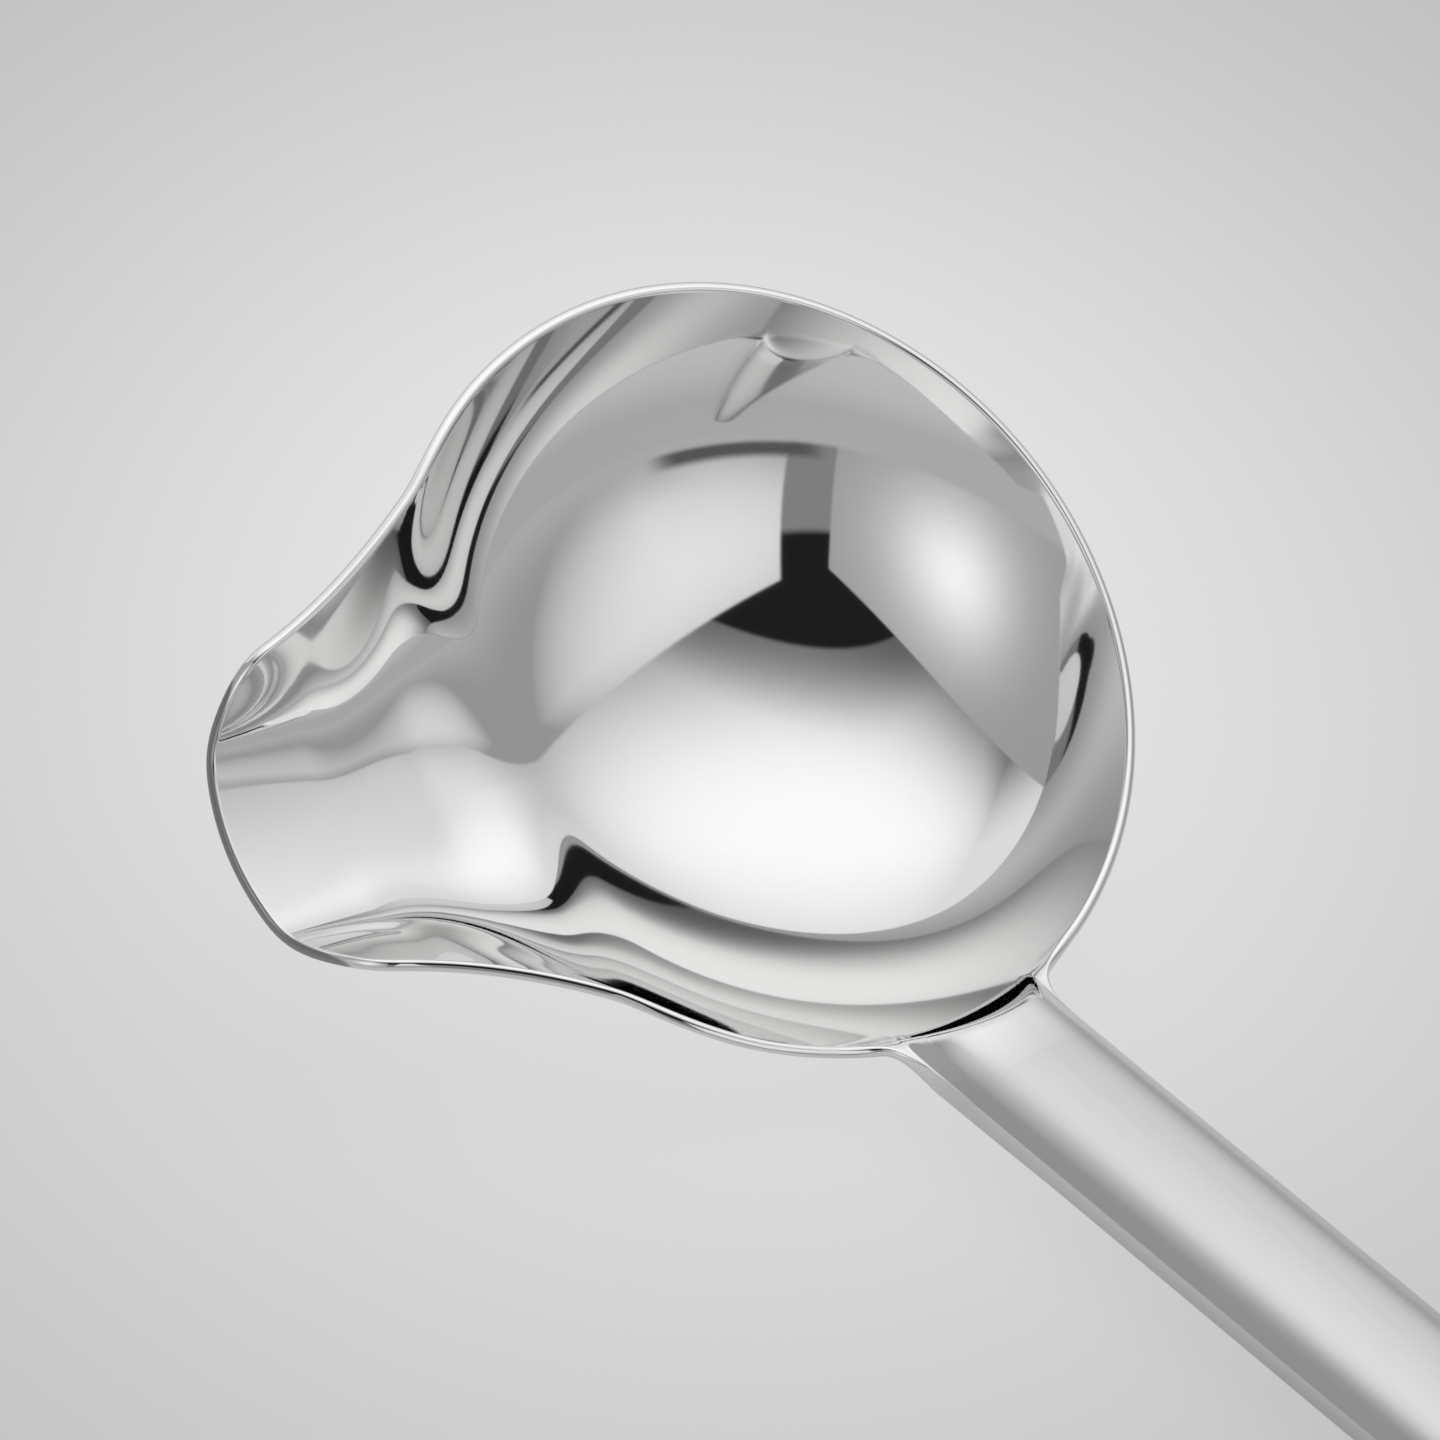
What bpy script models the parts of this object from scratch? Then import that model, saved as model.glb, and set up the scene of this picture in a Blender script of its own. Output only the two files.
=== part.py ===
"""Sauce ladle: a drawn bowl with a pouring spout on its side, carried by a slim hollow handle.

The bowl frame has the rim level at z = 0, its centre at the origin and the handle toward +X.
An empty then lays the ladle down on its bowl and on the tip of its handle.
"""
import math

import bpy
import bmesh
from mathutils import Euler, Vector

MM = 0.001
DEG = math.pi / 180.0

# Bowl
RIM_RADIUS = 34.5 * MM          # inside edge of the round rim
BOTTOM_RADIUS = 59.9 * MM       # curve of the inside at the bottom
WALL_ANGLE = 69.0 * DEG         # steepness of the straight wall below the rim
WALL_SWELL = 0.475              # how far the bottom turns up into the wall
WALL_TURN = 3.51                # higher keeps the bottom flat for longer before the wall turns up
WALL_EASE = 0.15                # softness of the change from the turn to the straight wall
WALL_SLOPE = 4.0                # slope of the wall where it is carried on above the rim
SHEET = 1.0 * MM                # drawn sheet of the bowl and the spout
EDGE_ROUND = 0.3 * MM           # rounding of the sheet's edges

# Spout, pulled out of the wall on one side
SPOUT_ANGLE = -97.0 * DEG       # from the handle, seen from above
LIP_REACH = 49.9 * MM           # bowl centre to the middle of the lip
LIP_WIDTH = 25.1 * MM           # between the inside faces of the lip's corners
LIP_DROP = 11.2 * MM            # middle of the lip below the rim
LIP_DIP = 5.2 * MM              # corners of the lip below the rim
DIP_START = 19.0 * MM           # distance from the centre where the edge starts to dip
LIP_BOW = 24.4 * MM             # radius of the lip's edge seen from above
LIP_CORNER = 3.0 * MM           # rounding of the lip's corners
FLOOR_ANGLE = 10.5 * DEG        # fall of the spout's floor toward the bowl
FLANK_ANGLE = 9.0 * DEG         # opening of each flank at the lip
FLANK_RADIUS = 41.3 * MM        # sweep of each flank back to the round rim
WIDEST = 34.0 * MM              # half width at which the channel stops widening inside the bowl
WIDEST_EASE = 5.7 * MM          # softness of that stop
FLOOR_WIDTH = 22.8 * MM         # flat part of the floor near the lip
ROOT_WIDTH = 15.0 * MM          # flat part of the floor where the channel leaves the bowl
FLOOR_BOW = 0.15                # share of the channel's depth that the floor's slight bow takes
SIDE_FOLD = 0.7                 # softness of the fold from the floor into the sides
SIDE_LEAST = 0.75 * MM          # least width of a side seen from above
SPOUT_ROOT = 28.0 * MM          # distance from the centre where the channel leaves the bowl
SPOUT_FADE = 28.0 * MM          # how quickly the channel ends inside the bowl
SPOUT_BLEND = 4.0 * MM          # softness of the saddle between bowl and channel

# Neck, the sheet that turns out of the wall into the handle
NECK_LENGTH = 7.5 * MM          # rim to the seam with the handle
NECK_BEND = 2.5 * MM            # softness of the bend
NECK_FILLET = 6.5 * MM          # webs between the rim and the handle's sides
NECK_SINK = 1.1 * MM            # the neck starts to rise this far inside the rim
NECK_EASE = 1.2 * MM            # length over which the rise sets in
NECK_TURN = 3.75 * MM           # length over which the sheet thickens into the handle's sides

# Handle
HANDLE_RISE = 34.5 * DEG        # above the rim plane
HANDLE_LENGTH = 190.0 * MM      # seam to tip
NECK_WIDTH = 15.0 * MM          # at the seam
TIP_WIDTH = 18.0 * MM           # at the hanging end
WIDEN_FROM = 45.0 * MM          # the handle is parallel up to here
CROWN = 2.5 * MM                # arch of the upper face over its edges
CROWN_EASE = 0.35               # share of the arch that runs out beyond the edge
SIDE_HEIGHT = 2.0 * MM          # turned-down sides
HANDLE_SHEET = 0.9 * MM         # pressed sheet of both handle shells
GAP = 0.3 * MM                  # clearance between pieces that touch
TONGUE_LENGTH = 25.0 * MM       # reach of the bowl's tongue into the handle
TONGUE_WIDTH = 9.0 * MM
TONGUE_SHEET = 0.7 * MM
TONGUE_ROOT = 4.0 * MM          # length of the tongue inside the neck

# Hanging end, a solid piece plugged into the hollow handle
END_LENGTH = 26.0 * MM
SPIGOT_LENGTH = 8.0 * MM
SPIGOT_ROOT = 3.0 * MM          # length of the spigot inside the end piece
EYE_WIDTH = 7.0 * MM
EYE_LENGTH = 13.0 * MM
EYE_TO_TIP = 4.0 * MM           # metal left between the eye and the tip

# Mesh fineness
RIM_STEPS = 120
SEAM_STEPS = 10
BOWL_RINGS = 15
RING_CROWDING = 1.25            # rings gather toward the rim
HANDLE_STATIONS = 22
END_STATIONS = 5
ARCH_STEPS = 12
ROUND_STEPS = 12
PROFILE_STEPS = 1000            # steps that add up to the profile
OUTLINE_SAMPLES = 1440          # directions in which the outline's length is measured
SPOKE_SAMPLES = 100             # places at which the length of a spoke is measured
SEARCH_STEP = 0.5 * MM          # first search for an edge
HALVINGS = 40                   # closer and closer looks after it
PROBE = 0.02 * MM               # distance at which a slope is felt

# Surface
STEEL = (0.60, 0.60, 0.59)
BOWL_ROUGHNESS = 0.08
SHELL_ROUGHNESS = 0.22
PLATE_ROUGHNESS = 0.25
END_ROUGHNESS = 0.20
BEVEL_SEGMENTS = 2
BEVEL_FROM = 50.0 * DEG         # edges sharper than this are rounded
SHARP_FROM = 40.0 * DEG         # edges sharper than this stay crisp in shading

# Worked out from the sizes above
SEAM_X = RIM_RADIUS + NECK_LENGTH
HANDLE_AXIS = Vector((math.cos(HANDLE_RISE), 0.0, math.sin(HANDLE_RISE)))
HANDLE_UP = Vector((-math.sin(HANDLE_RISE), 0.0, math.cos(HANDLE_RISE)))
SHELL_LENGTH = HANDLE_LENGTH - END_LENGTH


def smooth_min(a, b, width):
    """The lower of two heights, blended over a width with continuous curvature."""
    overlap = max(width - abs(a - b), 0.0) / width
    return min(a, b) - overlap ** 3 * width / 6.0


def smooth_max(a, b, width):
    return -smooth_min(-a, -b, width)


def smooth_step(t):
    t = min(max(t, 0.0), 1.0)
    return t * t * (3.0 - 2.0 * t)


def profile_heights():
    """Heights of the bowl's inside at equal steps from its centre to the rim."""
    heights = [0.0]
    for i in range(PROFILE_STEPS):
        t = (i + 0.5) / PROFILE_STEPS
        sine = RIM_RADIUS / BOTTOM_RADIUS * t + WALL_SWELL * t ** WALL_TURN
        sine = smooth_min(sine, math.sin(WALL_ANGLE), WALL_EASE)
        slope = sine / math.sqrt(1.0 - sine * sine)
        heights.append(heights[-1] + slope * RIM_RADIUS / PROFILE_STEPS)
    return [height - heights[-1] for height in heights]


PROFILE = profile_heights()


def bowl_height(x, y):
    """The round bowl, carried on as a straight wall above the rim."""
    r = math.hypot(x, y)
    if r >= RIM_RADIUS:
        return (r - RIM_RADIUS) * WALL_SLOPE
    place = r / RIM_RADIUS * PROFILE_STEPS
    i = min(int(place), PROFILE_STEPS - 1)
    return PROFILE[i] + (PROFILE[i + 1] - PROFILE[i]) * (place - i)


def spout_place(x, y):
    """Distance along the spout's middle line and across it."""
    along = x * math.cos(SPOUT_ANGLE) + y * math.sin(SPOUT_ANGLE)
    across = -x * math.sin(SPOUT_ANGLE) + y * math.cos(SPOUT_ANGLE)
    return along, across


def edge_height(along):
    """Height of the ladle's edge, level round the bowl and dipping toward the lip."""
    return -LIP_DIP * smooth_step((along - DIP_START) / (LIP_REACH - DIP_START))


def spout_height(x, y):
    """A channel with a nearly flat floor that falls toward the bowl, and with steep sides."""
    along, across = spout_place(x, y)
    back = LIP_REACH - along
    half = LIP_WIDTH / 2.0 + back * math.tan(FLANK_ANGLE) + back * back / (2.0 * FLANK_RADIUS)
    floor = -LIP_DROP - back * math.tan(FLOOR_ANGLE)
    half = smooth_min(half, WIDEST, WIDEST_EASE)
    widen = smooth_step((along - SPOUT_ROOT) / (LIP_REACH - SPOUT_ROOT) * 2.0)
    foot = (ROOT_WIDTH + (FLOOR_WIDTH - ROOT_WIDTH) * widen) / 2.0
    side = smooth_max((abs(across) - foot) / max(half - foot, SIDE_LEAST), 0.0, SIDE_FOLD)
    rise = FLOOR_BOW * (across / half) ** 2 + (1.0 - FLOOR_BOW) * side
    fade = max(SPOUT_ROOT - along, 0.0) ** 2 / (2.0 * SPOUT_FADE)
    return floor + (edge_height(along) - floor) * rise + fade


def pouring_height(x, y):
    return smooth_min(bowl_height(x, y), spout_height(x, y), SPOUT_BLEND)


def half_width(s):
    """Half the handle's width at a distance from the seam."""
    t = smooth_step((s - WIDEN_FROM) / (HANDLE_LENGTH - WIDEN_FROM))
    return (NECK_WIDTH + (TIP_WIDTH - NECK_WIDTH) * t) / 2.0


def crown(across, half):
    """Height of the arched upper face over the handle's edges."""
    return CROWN * smooth_max(1.0 - (across / half) ** 2, 0.0, CROWN_EASE)


def neck_height(x, y):
    """The handle's upper face, carried back over the rim."""
    start = RIM_RADIUS - NECK_SINK
    ease = NECK_EASE * math.log1p(math.exp((x - start) / NECK_EASE))
    lift = max(start - x, 0.0) ** 2 / (2.0 * NECK_SINK)
    arch = crown(y, NECK_WIDTH / 2.0) / math.cos(HANDLE_RISE)
    return math.tan(HANDLE_RISE) * ease + arch + lift


def top_height(x, y):
    """Height of the inside face of the bowl, the spout and the neck."""
    pouring = pouring_height(x, y)
    if x <= 0.0:
        return pouring
    return smooth_min(pouring, neck_height(x, y), NECK_BEND)


def outside(x, y):
    """Rough distance outside the bowl's outline seen from above, negative inside."""
    along, across = spout_place(x, y)
    rim = (pouring_height(x, y) - edge_height(along)) / WALL_SLOPE
    lip = along - LIP_REACH + across * across / (2.0 * LIP_BOW)
    pouring = smooth_max(rim, lip, LIP_CORNER)
    if x <= 0.0:
        return pouring
    neck = abs(y) - NECK_WIDTH / 2.0
    seam = x - SEAM_X + crown(y, NECK_WIDTH / 2.0) * math.sin(HANDLE_RISE)
    return max(smooth_min(pouring, neck, NECK_FILLET), seam)


def outline_radius(angle):
    """Distance from the bowl's centre to its outline in one direction."""
    c, s = math.cos(angle), math.sin(angle)
    far = RIM_RADIUS / 2.0
    while outside(far * c, far * s) < 0.0:
        far += SEARCH_STEP
    near = far - SEARCH_STEP
    for _ in range(HALVINGS):
        middle = (near + far) / 2.0
        if outside(middle * c, middle * s) < 0.0:
            near = middle
        else:
            far = middle
    return (near + far) / 2.0


def divide(places, points, shares):
    """Places that divide the length of a line through points by the given shares."""
    lengths = [0.0]
    for a, b in zip(points, points[1:]):
        lengths.append(lengths[-1] + (b - a).length)
    divided = []
    i = 0
    for share in shares:
        target = lengths[-1] * share
        while i < len(lengths) - 2 and lengths[i + 1] < target:
            i += 1
        t = (target - lengths[i]) / (lengths[i + 1] - lengths[i])
        divided.append(places[i] + (places[i + 1] - places[i]) * t)
    return divided


def spread(first, last, count):
    """Angles that divide a stretch of the outline into equal lengths, without the last one."""
    angles = [first + (last - first) * i / OUTLINE_SAMPLES for i in range(OUTLINE_SAMPLES + 1)]
    points = []
    for angle in angles:
        radius = outline_radius(angle)
        points.append(Vector((radius * math.cos(angle), radius * math.sin(angle))))
    return divide(angles, points, [k / count for k in range(count)])


def spoke(angle):
    """Distances from the centre to each ring in one direction."""
    radius = outline_radius(angle)
    c, s = math.cos(angle), math.sin(angle)
    places = [radius * i / SPOKE_SAMPLES for i in range(SPOKE_SAMPLES + 1)]
    points = [Vector((r, top_height(r * c, r * s))) for r in places]
    shares = [1.0 - (1.0 - i / BOWL_RINGS) ** RING_CROWDING for i in range(1, BOWL_RINGS + 1)]
    return divide(places, points, shares)


def top_normal(x, y):
    slope_x = (top_height(x + PROBE, y) - top_height(x - PROBE, y)) / (2.0 * PROBE)
    slope_y = (top_height(x, y + PROBE) - top_height(x, y - PROBE)) / (2.0 * PROBE)
    return Vector((-slope_x, -slope_y, 1.0)).normalized()


def bowl_points(x, y):
    """The inside point over a place in plan and the outside point under it."""
    top = Vector((x, y, top_height(x, y)))
    neck = smooth_step((x - RIM_RADIUS) / NECK_TURN)
    through = top_normal(x, y).lerp(HANDLE_UP, neck).normalized()
    thickness = SHEET + (SIDE_HEIGHT - SHEET) * neck
    return top, top - through * thickness


def steel(name, roughness):
    material = bpy.data.materials.new(name)
    material.use_nodes = True
    shader = material.node_tree.nodes["Principled BSDF"]
    shader.inputs["Base Color"].default_value = (*STEEL, 1.0)
    shader.inputs["Metallic"].default_value = 1.0
    shader.inputs["Roughness"].default_value = roughness
    return material


def add_object(name, bm, collection, parent):
    mesh = bpy.data.meshes.new(name)
    bmesh.ops.recalc_face_normals(bm, faces=bm.faces)
    bm.to_mesh(mesh)
    bm.free()
    obj = bpy.data.objects.new(name, mesh)
    collection.objects.link(obj)
    obj.parent = parent
    return obj


def finish(obj, material, edge):
    obj.data.materials.append(material)
    if edge:
        bevel = obj.modifiers.new("rounded edges", "BEVEL")
        bevel.width = edge
        bevel.segments = BEVEL_SEGMENTS
        bevel.limit_method = "ANGLE"
        bevel.angle_limit = BEVEL_FROM
    obj.data.shade_smooth()
    obj.data.set_sharp_from_angle(angle=SHARP_FROM)


def combine(obj, other, operation):
    modifier = obj.modifiers.new(operation.lower(), "BOOLEAN")
    modifier.operation = operation
    modifier.object = other
    modifier.solver = "EXACT"
    other.hide_render = True
    other.display_type = "WIRE"


def loft(sections):
    """A solid through closed sections with equal numbers of points."""
    bm = bmesh.new()
    rings = [[bm.verts.new(p) for p in section] for section in sections]
    for a, b in zip(rings, rings[1:]):
        for i in range(len(a)):
            j = (i + 1) % len(a)
            bm.faces.new((a[i], a[j], b[j], b[i]))
    bm.faces.new(rings[0])
    bm.faces.new(rings[-1])
    return bm


def handle_point(s, across, up):
    """A point from its distance along the handle, across it and above its edges."""
    seam_height = neck_height(SEAM_X, NECK_WIDTH * 2.0)
    origin = Vector((SEAM_X, 0.0, seam_height))
    return origin + HANDLE_AXIS * s + Vector((0.0, across, 0.0)) + HANDLE_UP * up


def arch_places(reach):
    """Places across an arch, from one edge to the other."""
    return [reach * (2.0 * i / ARCH_STEPS - 1.0) for i in range(ARCH_STEPS + 1)]


def arched_strip(s, half, reach, drop, thickness):
    """Section of a strip that lies under the arch of the upper face."""
    places = arch_places(reach)
    upper = [handle_point(s, p, crown(p, half) - drop) for p in places]
    lower = [handle_point(s, p, crown(p, half) - drop - thickness) for p in reversed(places)]
    return upper + lower


def shell_section(s):
    """Section of the upper shell: an arch with turned-down sides, open below."""
    half = half_width(s)
    inner = half - HANDLE_SHEET
    outer_arch = [(p, crown(p, half)) for p in arch_places(half)]
    inner_arch = [(p, crown(p, half) - HANDLE_SHEET) for p in arch_places(inner)]
    outline = [(-half, -SIDE_HEIGHT)] + outer_arch + [(half, -SIDE_HEIGHT)]
    outline += [(inner, -SIDE_HEIGHT)] + inner_arch[::-1] + [(-inner, -SIDE_HEIGHT)]
    return [handle_point(s, across, up) for across, up in outline]


def plate_section(s):
    """Section of the flat back plate between the turned-down sides."""
    half = half_width(s) - HANDLE_SHEET - GAP
    top = HANDLE_SHEET - SIDE_HEIGHT
    corners = ((-half, top), (half, top), (half, -SIDE_HEIGHT), (-half, -SIDE_HEIGHT))
    return [handle_point(s, across, up) for across, up in corners]


def solid_section(s):
    """Section of the solid hanging end, flush with the shells."""
    half = half_width(s)
    upper = [handle_point(s, p, crown(p, half)) for p in arch_places(half)]
    return upper + [handle_point(s, half, -SIDE_HEIGHT), handle_point(s, -half, -SIDE_HEIGHT)]


def spigot_section(s):
    """Section of the spigot, clear of the inside of the hollow handle."""
    half = half_width(SHELL_LENGTH)
    reach = half - HANDLE_SHEET - GAP
    floor = HANDLE_SHEET - SIDE_HEIGHT + GAP
    upper = []
    for p in arch_places(reach):
        roof = crown(p, half) - HANDLE_SHEET - GAP
        upper.append(handle_point(s, p, max(roof, floor + GAP)))
    return upper + [handle_point(s, reach, floor), handle_point(s, -reach, floor)]


def stations(first, last, count):
    return [first + (last - first) * i / (count - 1) for i in range(count)]


def plan_prism(outline):
    """A prism through the handle from points along it and across it."""
    low = [handle_point(s, across, -SIDE_HEIGHT - CROWN) for s, across in outline]
    high = [handle_point(s, across, CROWN * 2.0) for s, across in outline]
    return loft([low, high])


def arc(centre, radius, first, last):
    points = []
    for i in range(ROUND_STEPS + 1):
        angle = first + (last - first) * i / ROUND_STEPS
        points.append((centre + radius * math.cos(angle), radius * math.sin(angle)))
    return points


def build_bowl(parts, cutters, parent):
    half = NECK_WIDTH / 2.0
    corner = math.atan2(half, SEAM_X - crown(half, half) * math.sin(HANDLE_RISE))
    angles = spread(corner, 2.0 * math.pi - corner, RIM_STEPS)
    angles += spread(-corner, corner, SEAM_STEPS)

    bm = bmesh.new()
    pole = [bm.verts.new(p) for p in bowl_points(0.0, 0.0)]
    spokes = []
    for angle in angles:
        places = [bowl_points(r * math.cos(angle), r * math.sin(angle)) for r in spoke(angle)]
        spokes.append([[bm.verts.new(p) for p in place] for place in places])
    for a, b in zip(spokes, spokes[1:] + spokes[:1]):
        for side in (0, 1):
            bm.faces.new((pole[side], a[0][side], b[0][side]))
            for k in range(BOWL_RINGS - 1):
                bm.faces.new((a[k][side], a[k + 1][side], b[k + 1][side], b[k][side]))
        bm.faces.new((a[-1][0], a[-1][1], b[-1][1], b[-1][0]))
    bowl = add_object("bowl", bm, parts, parent)
    finish(bowl, steel("polished steel", BOWL_ROUGHNESS), EDGE_ROUND)

    under_shell = HANDLE_SHEET + GAP
    ends = (-TONGUE_ROOT, TONGUE_LENGTH)
    strips = [arched_strip(s, half, TONGUE_WIDTH / 2.0, under_shell, TONGUE_SHEET) for s in ends]
    tongue = add_object("bowl tongue", loft(strips), cutters, parent)
    combine(bowl, tongue, "UNION")


def build_upper_shell(parts, parent):
    places = stations(GAP, SHELL_LENGTH, HANDLE_STATIONS)
    shell = add_object("handle_upper_shell", loft([shell_section(s) for s in places]), parts, parent)
    finish(shell, steel("satin steel upper", SHELL_ROUGHNESS), EDGE_ROUND)


def build_back_plate(parts, parent):
    places = stations(GAP, SHELL_LENGTH, HANDLE_STATIONS)
    plate = add_object("handle_back_plate", loft([plate_section(s) for s in places]), parts, parent)
    finish(plate, steel("satin steel back", PLATE_ROUGHNESS), None)


def build_hanging_end(parts, cutters, parent):
    start = SHELL_LENGTH + GAP
    places = stations(start, HANDLE_LENGTH, END_STATIONS)
    end = add_object("hanging_end", loft([solid_section(s) for s in places]), parts, parent)

    spigot_ends = (start - SPIGOT_LENGTH, start + SPIGOT_ROOT)
    spigot = add_object("spigot", loft([spigot_section(s) for s in spigot_ends]), cutters, parent)
    combine(end, spigot, "UNION")

    tip = half_width(HANDLE_LENGTH)
    quarter = math.pi / 2.0
    back = SHELL_LENGTH - SPIGOT_LENGTH * 2.0
    outline = [(back, -tip * 2.0), (HANDLE_LENGTH - tip, -tip * 2.0)]
    outline += arc(HANDLE_LENGTH - tip, tip, -quarter, quarter)
    outline += [(HANDLE_LENGTH - tip, tip * 2.0), (back, tip * 2.0)]
    rounded = add_object("rounded tip", plan_prism(outline), cutters, parent)
    combine(end, rounded, "INTERSECT")

    bend = EYE_WIDTH / 2.0
    far = HANDLE_LENGTH - EYE_TO_TIP - bend
    near = far - (EYE_LENGTH - EYE_WIDTH)
    outline = arc(far, bend, -quarter, quarter) + arc(near, bend, quarter, 3.0 * quarter)
    eye = add_object("eye", plan_prism(outline), cutters, parent)
    combine(end, eye, "DIFFERENCE")
    finish(end, steel("satin steel end", END_ROUGHNESS), EDGE_ROUND)


def lay_down(rest, parts):
    """Turn the ladle until the bowl and the tip of the handle both touch the table."""
    bpy.context.view_layer.update()
    graph = bpy.context.evaluated_depsgraph_get()
    points = {}
    for obj in parts.objects:
        if obj.type == "MESH":
            points[obj.name] = [vertex.co.copy() for vertex in obj.evaluated_get(graph).data.vertices]

    def lowest(name, lean):
        return min(p.z * math.cos(lean) - p.x * math.sin(lean) for p in points[name])

    flat, steep = 0.0, math.pi / 2.0
    for _ in range(HALVINGS):
        lean = (flat + steep) / 2.0
        if lowest("bowl", lean) < lowest("hanging_end", lean):
            flat = lean
        else:
            steep = lean
    rest.rotation_euler = Euler((0.0, lean, 0.0))
    turn = rest.rotation_euler.to_matrix()
    turned = [turn @ p for piece in points.values() for p in piece]
    low = [min(p[k] for p in turned) for k in range(3)]
    high = [max(p[k] for p in turned) for k in range(3)]
    rest.location = (-(low[0] + high[0]) / 2.0, -(low[1] + high[1]) / 2.0, -low[2])
    bpy.context.view_layer.update()


def main():
    for obj in list(bpy.data.objects):
        bpy.data.objects.remove(obj, do_unlink=True)
    parts = bpy.data.collections.new("sauce ladle")
    cutters = bpy.data.collections.new("ladle cutters")
    for collection in (parts, cutters):
        bpy.context.scene.collection.children.link(collection)
    rest = bpy.data.objects.new("rest on table", None)
    parts.objects.link(rest)

    build_bowl(parts, cutters, rest)
    build_upper_shell(parts, rest)
    build_back_plate(parts, rest)
    build_hanging_end(parts, cutters, rest)
    lay_down(rest, parts)


if __name__ == "__main__":
    main()
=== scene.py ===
"""Sauce ladle in polished steel, laid on a pale table inside a light tent."""
import math

import bmesh
import bpy
import numpy as np
from bpy.props import FloatProperty, FloatVectorProperty, IntProperty, PointerProperty
from mathutils import Matrix, Vector


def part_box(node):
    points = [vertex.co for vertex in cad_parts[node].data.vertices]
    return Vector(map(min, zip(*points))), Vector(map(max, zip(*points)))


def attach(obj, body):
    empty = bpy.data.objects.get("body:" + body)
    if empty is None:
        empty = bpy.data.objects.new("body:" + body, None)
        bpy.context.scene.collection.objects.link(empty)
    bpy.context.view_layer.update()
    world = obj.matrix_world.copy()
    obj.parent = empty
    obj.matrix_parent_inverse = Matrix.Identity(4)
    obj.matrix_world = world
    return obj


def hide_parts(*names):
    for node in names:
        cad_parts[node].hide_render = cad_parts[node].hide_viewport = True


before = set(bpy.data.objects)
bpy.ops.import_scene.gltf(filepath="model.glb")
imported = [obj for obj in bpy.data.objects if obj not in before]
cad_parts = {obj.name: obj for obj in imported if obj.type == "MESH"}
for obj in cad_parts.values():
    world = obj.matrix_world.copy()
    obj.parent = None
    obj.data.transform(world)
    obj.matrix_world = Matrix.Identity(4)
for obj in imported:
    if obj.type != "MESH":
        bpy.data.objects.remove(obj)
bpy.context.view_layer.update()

bl_info = {
    "name": "Sauce ladle",
    "version": (1, 0, 0),
    "blender": (4, 5, 0),
    "location": "3D View > Sidebar > Ladle",
    "description": "Builds a steel sauce ladle with a pouring spout and a hollow handle",
    "category": "Add Mesh",
}

BODY = "root"

SHARP_EDGE = math.radians(38.0)     # steeper edges stay sharp
RING_STEPS = 500                    # points along each spoke while its rings are placed
RING_CROWD = 1.2                    # above 1 the rings lie closer together toward the edge
CREASE_RUN = 0.012                  # the shell's crease grows to its full size over this length
CREASE_LEAST = 0.00002              # and starts from this
LOWER_ROUND = ((1.0, 0.0), (0.3, 0.3), (0.0, 1.0))      # in creases, inward and up from the lower corner
UPPER_ROUND = ((0.0, -1.2), (0.25, -0.35))              # the same from the upper corner
END_STATIONS = 30                   # sections along the solid end
END_SEGMENTS = 4                    # faces across its rounded edges
END_CORNER = math.radians(50.0)     # corners sharper than this are rounded
TABLE_DROP = 0.0002                 # the table lies this far below the ladle
RUBBED = (2600.0, 3.0, 400.0)       # fineness of the bowl's rubbing lines outward, round and up
BRUSHED = (30.0, 5200.0, 5200.0)    # fineness of the handle's brushed lines along, across and up
BRUSH_DEPTH = 0.00002               # of the brushed lines
LIP_SHADE_SPAN = (-0.00015, 0.00005)      # the painted shade on the lip sets in from here to here beyond its inside edge


def length(name, description, default):
    return FloatProperty(name=name, description=description, default=default, precision=4,
                         subtype="DISTANCE", unit="LENGTH")


def angle(name, description, degrees):
    return FloatProperty(name=name, description=description, default=math.radians(degrees),
                         subtype="ANGLE", unit="ROTATION")


def number(name, description, default):
    return FloatProperty(name=name, description=description, default=default, precision=3)


def share(name, description, default):
    return FloatProperty(name=name, description=description, default=default, min=0.0, max=1.0,
                         subtype="FACTOR")


def count(name, description, default):
    return IntProperty(name=name, description=description, default=default, min=1)


def tint(name, description, default):
    return FloatVectorProperty(name=name, description=description, default=default, size=3,
                               min=0.0, max=1.0, subtype="COLOR")


class LadleBowlSizes(bpy.types.PropertyGroup):
    """Bowl"""

    rim_radius: length("Rim radius", "Inside edge of the round rim", 0.0345)
    bottom_radius: length("Bottom radius", "Curve of the inside at the bottom", 0.0581)
    bottom_shift: length("Bottom shift", "Lowest point beside the centre, toward the gentlest wall", 0.0008)
    spread_turn: angle("Spread turn", "Gentlest wall from the handle, seen from above", -25.0)
    far_spread: share("Far spread", "How much gentler the wall opposite that is than the walls between", 0.13)
    near_spread: share("Near spread", "How much gentler the gentlest wall is than the walls between", 0.23)
    wall_angle: angle("Wall angle", "Steepness of the wall below the rim", 70.0)
    wall_round: number("Wall round", "How much less steep the wall is lower down", 0.6)
    wall_swell: number("Wall swell", "How far the bottom turns up into the wall", 0.5)
    wall_turn: number("Wall turn", "Higher keeps the bottom flat for longer", 3.88)
    wall_ease: number("Wall ease", "Softness of the change from the bottom to the wall", 0.26)
    wall_slope: number("Wall slope", "Slope of the wall where it is carried on above the rim", 4.0)
    sheet: length("Sheet", "Drawn sheet of the bowl and the spout", 0.001)
    edge_swell: share("Edge swell", "Roundness of the sheet's edge", 0.6)
    rim_steps: count("Rim steps", "Faces along the free edge", 400)
    seam_steps: count("Seam steps", "Faces along the seam with the handle", 32)
    rings: count("Rings", "Faces from the middle to the edge", 96)
    edge_steps: count("Edge steps", "Faces across the rounded edge", 8)


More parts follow.
